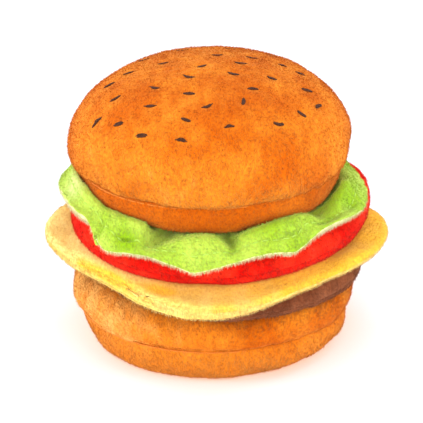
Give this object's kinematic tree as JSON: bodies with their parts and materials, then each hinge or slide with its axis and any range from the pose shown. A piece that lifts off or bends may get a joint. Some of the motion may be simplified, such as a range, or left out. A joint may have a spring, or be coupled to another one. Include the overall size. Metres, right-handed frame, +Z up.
{
  "type": "plush hamburger toy",
  "caption": "Stuffed hamburger toy in pile fabric: two buns, lettuce, tomato, cheese and patty tied through the middle, with a squeaker in the top bun.",
  "frame": {"origin": "middle of the flat face that the bottom bun rests on", "axes": "+Z up through the tie that all the layers turn about, -Y to the front, where one corner of the cheese points, +X to the right seen from the front"},
  "size_m": [0.154, 0.154, 0.1302],
  "materials": {
    "crust_velour": "short-pile velour, toasted orange, with lighter and darker patches where the nap lies another way",
    "patty_velour": "short-pile velour, reddish brown",
    "cheese_velour": "short-pile velour, pale yellow",
    "tomato_velour": "short-pile velour, bright red",
    "leaf_velour": "short-pile velour, light green, paler underneath",
    "polyester_fibre": "loose white polyester filling",
    "sewing_thread": "twisted polyester thread, orange brown",
    "leaf_thread": "twisted polyester thread, green",
    "seed_thread": "satin-stitched embroidery thread, dark brown",
    "bladder_vinyl": "soft blow-moulded vinyl, milky",
    "reed_plastic": "moulded plastic, ivory"
  },
  "bodies": {
    "heel": {"heel_bottom_panel": "crust_velour", "heel_top_panel": "crust_velour", "heel_stuffing": "polyester_fibre", "heel_seam_thread": "sewing_thread", "heel_closing_stitches": "sewing_thread", "centre_tie": "sewing_thread"},
    "patty": {"patty_bottom_panel": "patty_velour", "patty_top_panel": "patty_velour", "patty_stuffing": "polyester_fibre"},
    "cheese": {"cheese_bottom_panel": "cheese_velour", "cheese_top_panel": "cheese_velour", "cheese_wadding": "polyester_fibre"},
    "tomato": {"tomato_bottom_panel": "tomato_velour", "tomato_top_panel": "tomato_velour", "tomato_stuffing": "polyester_fibre"},
    "lettuce": {"lettuce_bottom_ply": "leaf_velour", "lettuce_top_ply": "leaf_velour", "lettuce_wadding": "polyester_fibre", "lettuce_topstitches": "leaf_thread"},
    "crown": {"crown_base_panel": "crust_velour", "crown_dome_panel": "crust_velour", "crown_stuffing": "polyester_fibre", "crown_seam_thread": "sewing_thread", "sesame_seeds": "seed_thread", "squeaker_base": "bladder_vinyl", "squeaker_bellows": "bladder_vinyl", "reed_barrel": "reed_plastic", "squeaker_reed": "reed_plastic"},
    "squeaker_cap": {"squeaker_cap": "bladder_vinyl"}
  },
  "joints": [
    {"name": "patty_twist", "type": "hinge", "parent": "heel", "child": "patty", "pos_m": [0, 0, 0.0348], "axis": [0, 0, 1], "range_deg": [-10, 10], "stiffness_Nm_per_rad": 0.02},
    {"name": "cheese_twist", "type": "hinge", "parent": "patty", "child": "cheese", "pos_m": [0, 0, 0.0472], "axis": [0, 0, 1], "range_deg": [-10, 10], "stiffness_Nm_per_rad": 0.02},
    {"name": "tomato_twist", "type": "hinge", "parent": "cheese", "child": "tomato", "pos_m": [0, 0, 0.0518], "axis": [0, 0, 1], "range_deg": [-10, 10], "stiffness_Nm_per_rad": 0.02},
    {"name": "lettuce_twist", "type": "hinge", "parent": "tomato", "child": "lettuce", "pos_m": [0, 0, 0.065], "axis": [0, 0, 1], "range_deg": [-12, 12], "stiffness_Nm_per_rad": 0.02},
    {"name": "crown_twist", "type": "hinge", "parent": "lettuce", "child": "crown", "pos_m": [0, 0, 0.0706], "axis": [0, 0, 1], "range_deg": [-15, 15], "stiffness_Nm_per_rad": 0.02},
    {"name": "squeaker_press", "type": "slide", "parent": "crown", "child": "squeaker_cap", "axis": [0, 0, 1], "range_m": [-0.008, 0], "stiffness_N_per_m": 40, "springref_m": 0.002, "deforming": ["squeaker_bellows"]}
  ]
}
